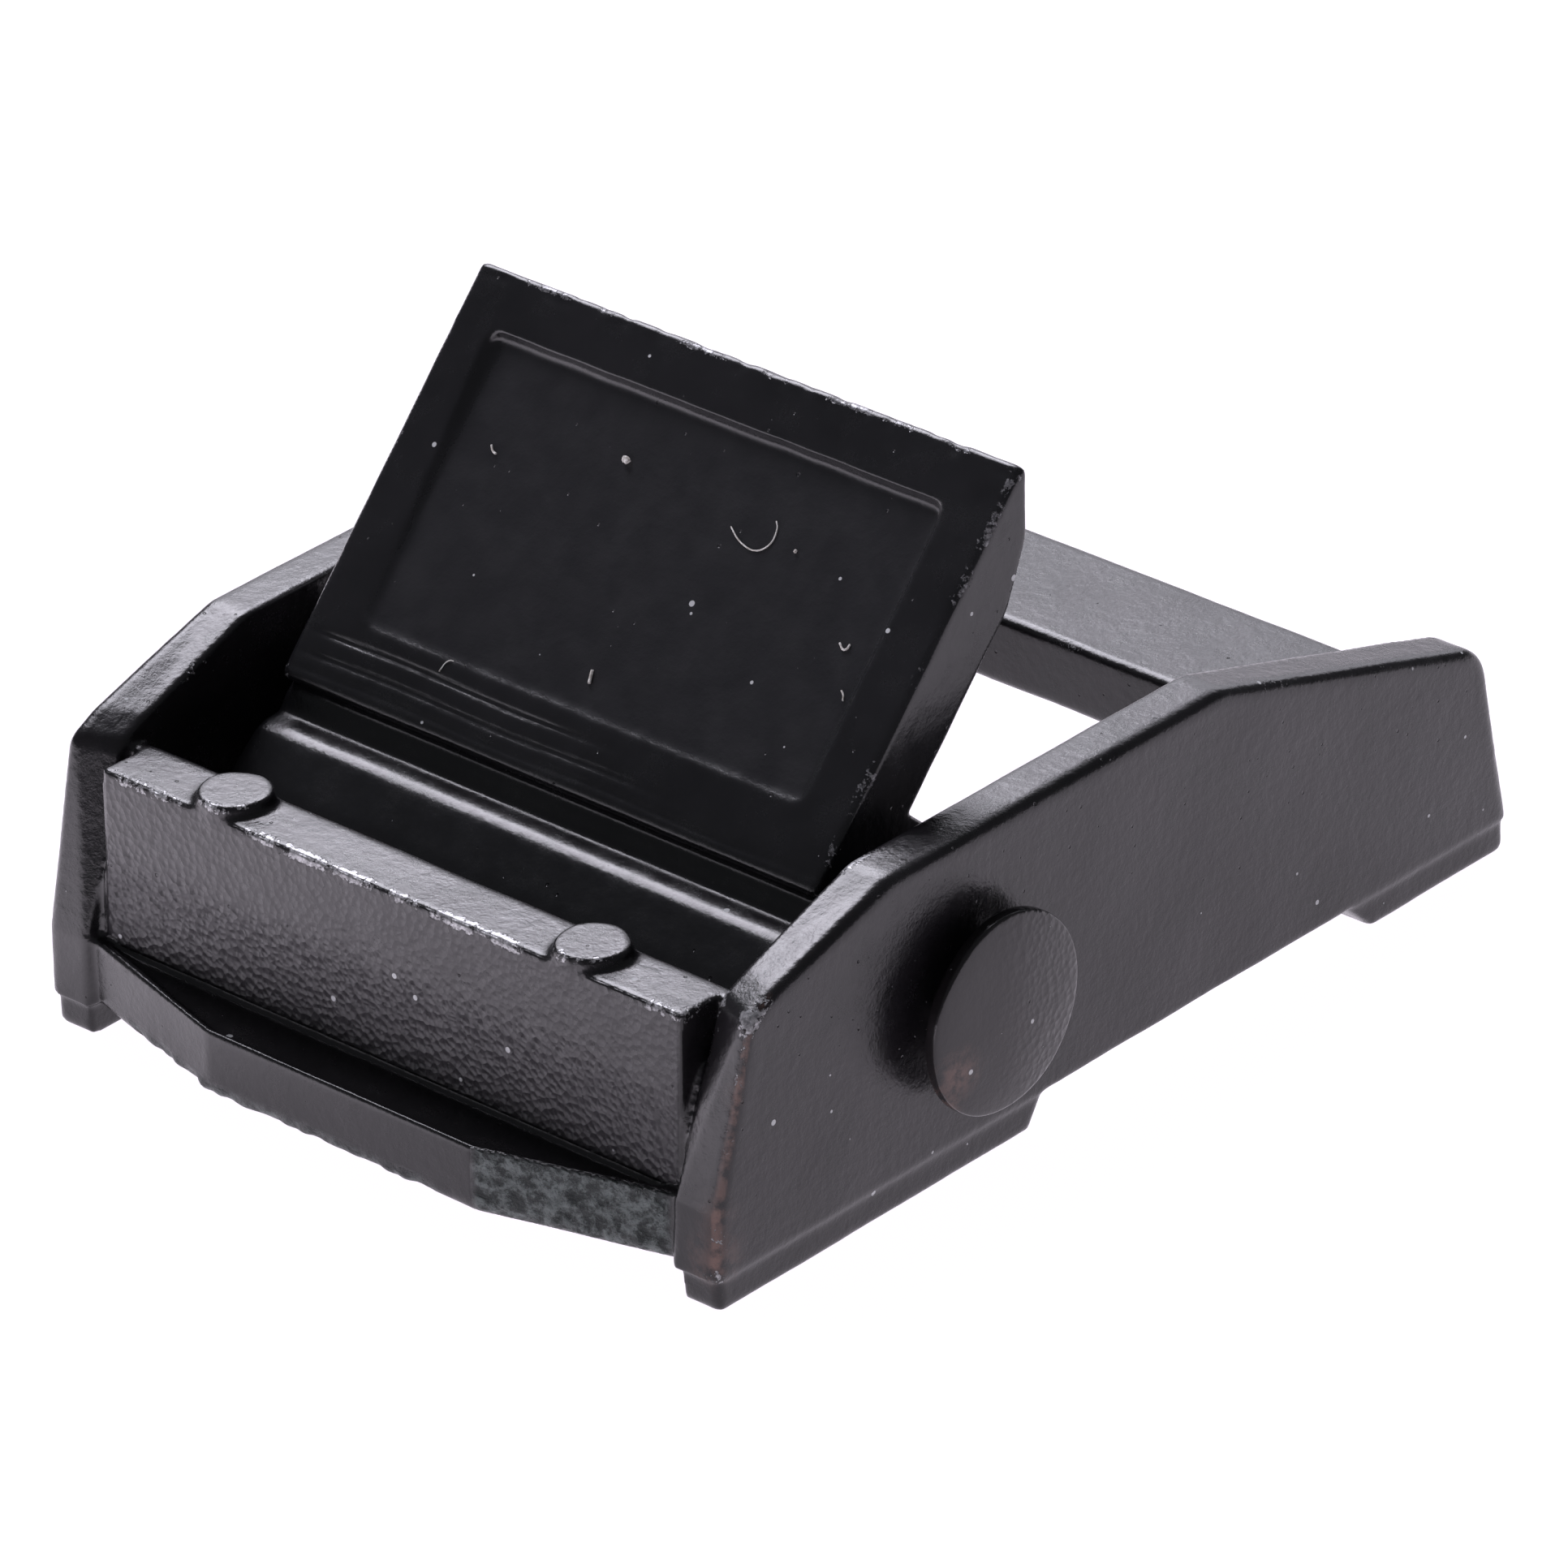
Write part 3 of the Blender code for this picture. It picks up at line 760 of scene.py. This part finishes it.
def shape_rivet():
    rings = []
    for x, radius in RIVET_TAIL[::-1] + RIVET_HEAD:
        ring = []
        for k in range(RIVET_SEGMENTS):
            a = 2 * math.pi * k / RIVET_SEGMENTS
            r = radius * (1 + 0.006 * math.sin(2 * a + 0.6) + 0.003 * math.sin(5 * a))
            r = min(r, radius) if radius <= SHANK_RADIUS else r
            ring.append((x, PIVOT_Y + r * math.cos(a), PIVOT_Z + r * math.sin(a)))
        rings.append(ring)
    ob = solid("pivot_rivet", rings)
    mod = ob.modifiers.new("subdivide", "SUBSURF")
    mod.levels = mod.render_levels = 1
    return bake_modifiers(ob)


def finish_rivet(ob):
    """Uneven ends and wear on the rivet, and its material's masks."""
    s = Surface(ob)
    x = s.points[:, 0]
    outer = np.abs(x) > RIVET_ENDS
    rolling = cloud(s.points, 0.5, 21)
    s.points[:, 0] += outer * np.sign(x) * (0.03 * rolling - 0.03)
    s.store()
    edge = s.convexity(RIVET_EDGE_SIZE)
    ridge = ramp(edge, *TURNED_RIDGE) * outer
    rear = ramp(s.points[:, 1] + LENGTH_CENTRE - PIVOT_Y, -1.5, 2.0)
    s.attribute("wear_and_glint", near(s.points, RIVET_WORN) * ridge)
    s.attribute("pebble", 0.22 * outer * rear)
    s.attribute("copper_and_glint", near(s.points, RIVET_COPPER))


# ---------------------------------------------------------------- materials

class Nodes:
    """A node material under construction, in object coordinates."""

    def __init__(self, name):
        self.mat = bpy.data.materials.new(name)
        self.mat.use_nodes = True
        self.tree = self.mat.node_tree
        self.shader = self.tree.nodes["Principled BSDF"]
        self.coords = self.add("ShaderNodeTexCoord").outputs["Object"]

    def add(self, kind, **values):
        node = self.tree.nodes.new(kind)
        for key, value in values.items():
            setattr(node, key, value)
        return node

    def link(self, out, socket):
        self.tree.links.new(out, socket)

    def texture(self, kind, scale, seed):
        """A texture node in features per millimetre, shifted by its seed."""
        shift = self.add("ShaderNodeMapping")
        shift.inputs["Location"].default_value = (seed, seed * 0.7, seed * 0.3)
        self.link(self.coords, shift.inputs["Vector"])
        node = self.add(kind)
        node.inputs["Scale"].default_value = scale / MM
        self.link(shift.outputs["Vector"], node.inputs["Vector"])
        return node

    def noise(self, scale, detail, roughness, seed):
        node = self.texture("ShaderNodeTexNoise", scale, seed)
        node.inputs["Detail"].default_value = detail
        node.inputs["Roughness"].default_value = roughness
        return node.outputs["Fac"]

    def cells(self, scale, seed):
        """Voronoi cells: the distance to each one's centre, and two random numbers for each."""
        node = self.texture("ShaderNodeTexVoronoi", scale, seed)
        numbers = self.add("ShaderNodeSeparateColor")
        self.link(node.outputs["Color"], numbers.inputs[0])
        return node.outputs["Distance"], numbers.outputs[0], numbers.outputs[1]

    def attribute(self, name):
        return self.add("ShaderNodeAttribute", attribute_name=name).outputs["Fac"]

    def math(self, operation, a, b, clamp=False):
        node = self.add("ShaderNodeMath", operation=operation, use_clamp=clamp)
        for socket, value in zip(node.inputs, (a, b)):
            if isinstance(value, (int, float)):
                socket.default_value = value
            else:
                self.link(value, socket)
        return node.outputs[0]

    def scaled(self, value, low, high, to_low=0.0, to_high=1.0):
        """The value eased from one range to another."""
        node = self.add("ShaderNodeMapRange", interpolation_type="SMOOTHSTEP")
        node.inputs["From Min"].default_value = low
        node.inputs["From Max"].default_value = high
        node.inputs["To Min"].default_value = to_low
        node.inputs["To Max"].default_value = to_high
        self.link(value, node.inputs["Value"])
        return node.outputs["Result"]

    def mix(self, fac, a, b):
        node = self.add("ShaderNodeMix", data_type="RGBA")
        self.link(fac, node.inputs["Factor"])
        for socket, value in ((node.inputs[6], a), (node.inputs[7], b)):
            if isinstance(value, tuple):
                socket.default_value = (*value, 1.0)
            else:
                self.link(value, socket)
        return node.outputs[2]

    def bump(self, height, distance, under=None):
        """A bump whose distance is in millimetres, over another one where given."""
        node = self.add("ShaderNodeBump")
        node.inputs["Distance"].default_value = distance * MM
        self.link(height, node.inputs["Height"])
        if under is not None:
            self.link(under, node.inputs["Normal"])
        return node.outputs["Normal"]


PEBBLE_TONE = (0.032, 0.0305, 0.0335)
MATTE_TONE = (0.0135, 0.0133, 0.0155)
GRIT_DARK = (0.028, 0.034, 0.033)
GRIT_LIGHT = (0.165, 0.190, 0.185)
# The copper tint, also a painted highlight down the frame's right front edge.
COPPER_AND_GLINT_TONE = (0.15, 0.088, 0.072)
DUST_TONE = (0.50, 0.51, 0.52)
LACQUER_IOR = 1.46
PIT_RADIUS = 0.11
PIT_THRESHOLD = 0.72
SPECK_RADIUS = 0.12
FLAKE_CONTRAST = 3.4


def lacquer(name, dark, light, rough, peel, dust, chip_dark, chip_light):
    """Black stoving lacquer on a zinc casting, chipped to metal where the wear mask says; on the
    frame some of these chips are painted highlights.

    rough is the range of roughness, peel the depth of the orange peel in millimetres, and dust
    the share of the surface's cells that hold no speck.
    """
    m = Nodes(name)
    broad = m.noise(0.22, 4.0, 0.55, 0.11)
    fine = m.noise(3.2, 5.0, 0.6, 0.23)
    mottled = m.noise(9.0, 4.0, 0.6, 0.31)
    colour = m.mix(m.scaled(broad, 0.35, 0.7), dark, light)

    pebble = m.attribute("pebble")
    matte = m.attribute("matte")
    coarse = m.attribute("coarse")
    patch = m.noise(2.4, 6.0, 0.7, 0.41)
    stain = m.scaled(m.noise(1.4, 4.0, 0.6, 0.5), 0.35, 0.6)
    colour = m.mix(pebble, colour, PEBBLE_TONE)
    colour = m.mix(matte, colour, MATTE_TONE)
    colour = m.mix(coarse, colour, m.mix(m.scaled(patch, 0.42, 0.62), GRIT_DARK, GRIT_LIGHT))
    # Copper tint: copper wear, and down the frame's right front edge a painted highlight.
    colour = m.mix(m.math("MULTIPLY", m.attribute("copper_and_glint"), stain), colour, COPPER_AND_GLINT_TONE)

    pit_distance, pit_choice, pit_size = m.cells(1.7, 0.61)
    pit_edge = m.math("SUBTRACT", pit_distance, m.math("MULTIPLY", pit_size, PIT_RADIUS))
    pit = m.math("MULTIPLY", m.scaled(pit_edge, 0.03, -0.03),
                 m.math("GREATER_THAN", pit_choice, PIT_THRESHOLD))

    # Chips of bare metal: real wear, and on the frame's right front corner and edge painted
    # highlights.
    wear_and_glint = m.attribute("wear_and_glint")
    flake = m.math("SUBTRACT", m.noise(3.4, 8.0, 0.72, 0.71), 0.5)
    chip = m.scaled(m.math("ADD", wear_and_glint, m.math("MULTIPLY", flake, FLAKE_CONTRAST)), 0.50, 0.60)
    chip = m.math("MULTIPLY", chip, m.scaled(wear_and_glint, 0.12, 0.3))

    dust_distance, dust_choice, dust_size = m.cells(0.95, 0.83)
    dust_radius = m.math("MULTIPLY", m.math("POWER", dust_size, 4.0), SPECK_RADIUS)
    speck = m.math("MULTIPLY", m.scaled(m.math("SUBTRACT", dust_distance, dust_radius), 0.02, 0.0),
                   m.math("GREATER_THAN", dust_choice, dust))

    metal = m.mix(m.scaled(mottled, 0.35, 0.65), chip_dark, chip_light)
    colour = m.mix(chip, colour, metal)
    colour = m.mix(speck, colour, DUST_TONE)
    m.link(colour, m.shader.inputs["Base Color"])

    roughness = m.scaled(m.noise(0.8, 5.0, 0.6, 0.9), 0.3, 0.7, *rough)
    for mask, more in ((matte, 0.12), (coarse, 0.22), (pebble, 0.2), (speck, 0.4)):
        roughness = m.math("ADD", roughness, m.math("MULTIPLY", mask, more))
    uneven = m.math("MULTIPLY", m.math("SUBTRACT", mottled, 0.5), 0.10)
    roughness = m.math("ADD", roughness, uneven, clamp=True)
    m.link(roughness, m.shader.inputs["Roughness"])
    m.link(m.math("MULTIPLY", chip, 0.3), m.shader.inputs["Metallic"])

    bumps, _, _ = m.cells(3.3, 0.37)
    normal = m.bump(fine, peel)
    normal = m.bump(mottled, peel * 0.35, normal)
    normal = m.bump(m.math("MULTIPLY", bumps, pebble), 0.12, normal)
    normal = m.bump(m.math("MULTIPLY", patch, coarse), 0.34, normal)
    normal = m.bump(m.math("MULTIPLY", pit, -1.0), 0.045, normal)
    normal = m.bump(m.math("MULTIPLY", chip, -1.0), 0.03, normal)
    m.link(normal, m.shader.inputs["Normal"])
    m.shader.inputs["IOR"].default_value = LACQUER_IOR
    return m.mat


def spring_steel():
    m = Nodes("drawn_spring_steel")
    streak = m.noise(2.5, 6.0, 0.65, 0.2)
    stain = m.noise(0.5, 4.0, 0.5, 0.4)
    colour = m.mix(m.scaled(streak, 0.3, 0.7), (0.30, 0.29, 0.28), (0.52, 0.51, 0.50))
    colour = m.mix(m.scaled(stain, 0.52, 0.72), colour, (0.16, 0.10, 0.06))
    m.link(colour, m.shader.inputs["Base Color"])
    m.link(m.scaled(streak, 0.3, 0.7, 0.24, 0.42), m.shader.inputs["Roughness"])
    m.link(m.bump(streak, 0.01), m.shader.inputs["Normal"])
    m.shader.inputs["Metallic"].default_value = 1.0
    return m.mat


def dust_fibre():
    m = Nodes("dust_fibre")
    shade = m.scaled(m.noise(6.0, 3.0, 0.5, 0.3), 0.35, 0.65)
    colour = m.mix(shade, (0.45, 0.42, 0.38), (0.78, 0.77, 0.74))
    m.link(colour, m.shader.inputs["Base Color"])
    m.link(m.bump(m.noise(12.0, 2.0, 0.5, 0.6), 0.01), m.shader.inputs["Normal"])
    m.shader.inputs["Roughness"].default_value = 0.85
    return m.mat


# ---------------------------------------------------------------- assembly

def to_metres(ob, *mats):
    """Scales a finished mesh to metres, shades it smooth and gives it its materials."""
    indices = [face.material_index for face in ob.data.polygons] if len(mats) > 1 else None
    ob.data.transform(Matrix.Scale(MM, 4))
    ob.data.materials.clear()
    for mat in mats:
        ob.data.materials.append(mat)
    if indices:
        ob.data.polygons.foreach_set("material_index", indices)
    ob.data.polygons.foreach_set("use_smooth", [True] * len(ob.data.polygons))
    ob.data.update()


def build_pieces():
    frame_paint = lacquer(
        "frame_black_lacquer", dark=(0.0065, 0.0060, 0.0070), light=(0.0115, 0.0106, 0.0122),
        rough=(0.19, 0.28), peel=0.022, dust=0.70,
        chip_dark=(0.17, 0.17, 0.175), chip_light=(0.40, 0.40, 0.41),
    )
    lever_paint = lacquer(
        "lever_black_lacquer", dark=(0.0080, 0.0079, 0.0091), light=(0.0125, 0.0123, 0.0139),
        rough=(0.19, 0.28), peel=0.012, dust=0.45,
        chip_dark=(0.06, 0.06, 0.065), chip_light=(0.26, 0.26, 0.27),
    )
    rivet_paint = lacquer(
        "rivet_black_lacquer", dark=(0.0085, 0.0075, 0.0082), light=(0.015, 0.0128, 0.0138),
        rough=(0.12, 0.22), peel=0.016, dust=0.05,
        chip_dark=(0.20, 0.20, 0.21), chip_light=(0.45, 0.45, 0.46),
    )

    shell = shape_frame()
    finish_frame(shell)
    to_metres(shell, frame_paint)
    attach(shell, "frame")
    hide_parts("frame")

    lever = shape_lever()
    finish_lever(lever)
    add_mesh(lever, make_lint())
    to_metres(lever, lever_paint, dust_fibre())
    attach(lever, "lever")
    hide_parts("lever")

    rivet = shape_rivet()
    finish_rivet(rivet)
    to_metres(rivet, rivet_paint)
    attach(rivet, "frame")
    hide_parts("rivet")

    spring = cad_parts["spring"]
    steel = spring_steel()
    for place in spring.material_slots:
        place.material = steel


# ---------------------------------------------------------------- stage, lights and camera

FLOOR_HALF = 3.0
FLOOR_TONE = (0.14, 0.14, 0.14, 1.0)
FLOOR_GLOW_TINT = (1.0, 0.93, 1.04, 1.0)
FLOOR_GLOW = 1.06
FLOOR_FAR_GLOW = 2.3
FLOOR_FAR_WAY = (-0.45, -0.89, 0.0)
FLOOR_FAR_SPAN = (0.0245, 0.036)
WORLD_TONE = (0.9, 0.93, 1.0, 1.0)
WORLD_STRENGTH = 0.13


def build_stage():
    """A pale floor that glows more strongly ahead of the buckle, and a faint world."""
    mesh = bmesh.new()
    bmesh.ops.create_grid(mesh, x_segments=8, y_segments=8, size=FLOOR_HALF)
    data = bpy.data.meshes.new("floor")
    mesh.to_mesh(data)
    mesh.free()
    floor = bpy.data.objects.new("floor", data)
    bpy.context.collection.objects.link(floor)
    m = Nodes("pale_floor")
    m.shader.inputs["Base Color"].default_value = FLOOR_TONE
    m.shader.inputs["Roughness"].default_value = 0.9
    m.shader.inputs["Emission Color"].default_value = FLOOR_GLOW_TINT
    ahead = m.add("ShaderNodeVectorMath", operation="DOT_PRODUCT")
    ahead.inputs[1].default_value = FLOOR_FAR_WAY
    m.link(m.coords, ahead.inputs[0])
    glow = m.scaled(ahead.outputs["Value"], *FLOOR_FAR_SPAN, FLOOR_GLOW, FLOOR_FAR_GLOW)
    m.link(glow, m.shader.inputs["Emission Strength"])
    data.materials.append(m.mat)

    world = bpy.data.worlds.new("studio")
    world.use_nodes = True
    background = world.node_tree.nodes["Background"]
    background.inputs["Color"].default_value = WORLD_TONE
    background.inputs["Strength"].default_value = WORLD_STRENGTH
    bpy.context.scene.world = world


LIGHT_TARGET = (0, 0, 0.01)


def softbox(name, direction, distance, width, height, radiance, colour):
    """A flat area light that faces the buckle; radiance is how bright it looks in a mirror."""
    light = bpy.data.lights.new(name, "AREA")
    light.shape = "RECTANGLE"
    light.size = width
    light.size_y = height
    light.energy = radiance * math.pi * width * height
    light.color = colour
    ob = bpy.data.objects.new(name, light)
    bpy.context.collection.objects.link(ob)
    d = Vector(direction).normalized()
    ob.location = d * distance + Vector(LIGHT_TARGET)
    ob.rotation_euler = d.to_track_quat("Z", "Y").to_euler()


def build_lights():
    softbox("back_left_softbox", (-0.54, 0.72, 0.42), 0.45, 0.43, 0.27, 1.9, (1.0, 0.98, 1.09))
    softbox("overhead_softbox", (-0.58, 0.33, 0.74), 0.45, 0.27, 0.22, 11.0, (1.0, 0.98, 1.09))
    softbox("front_left_fill", (-0.66, -0.70, 0.07), 1.2, 1.1, 0.22, 1.3, (1.0, 0.97, 1.06))


# Solved by least squares from corners of the buckle in the photo
CAMERA_RIGHT = (0.7453951, 0.6662370, -0.0226809)
CAMERA_UP = (-0.3045071, 0.3705588, 0.8774746)
CAMERA_BACK = (0.5930106, -0.6471588, 0.4790866)
CAMERA_PLACE = (0.261767, -0.284795, 0.217790)
CAMERA_LENS = 280.052
CAMERA_SENSOR = 36.0
CAMERA_NEAR = 0.01


def build_camera():
    cam = bpy.data.cameras.new("camera")
    cam.sensor_width = CAMERA_SENSOR
    cam.lens = CAMERA_LENS
    cam.clip_start = CAMERA_NEAR
    ob = bpy.data.objects.new("camera", cam)
    bpy.context.collection.objects.link(ob)
    rows = Matrix((CAMERA_RIGHT, CAMERA_UP, CAMERA_BACK)).transposed().to_4x4()
    ob.matrix_world = Matrix.Translation(CAMERA_PLACE) @ rows
    bpy.context.scene.camera = ob
    bpy.context.scene.view_settings.view_transform = "Standard"


build_camera()
build_stage()
build_lights()
build_pieces()
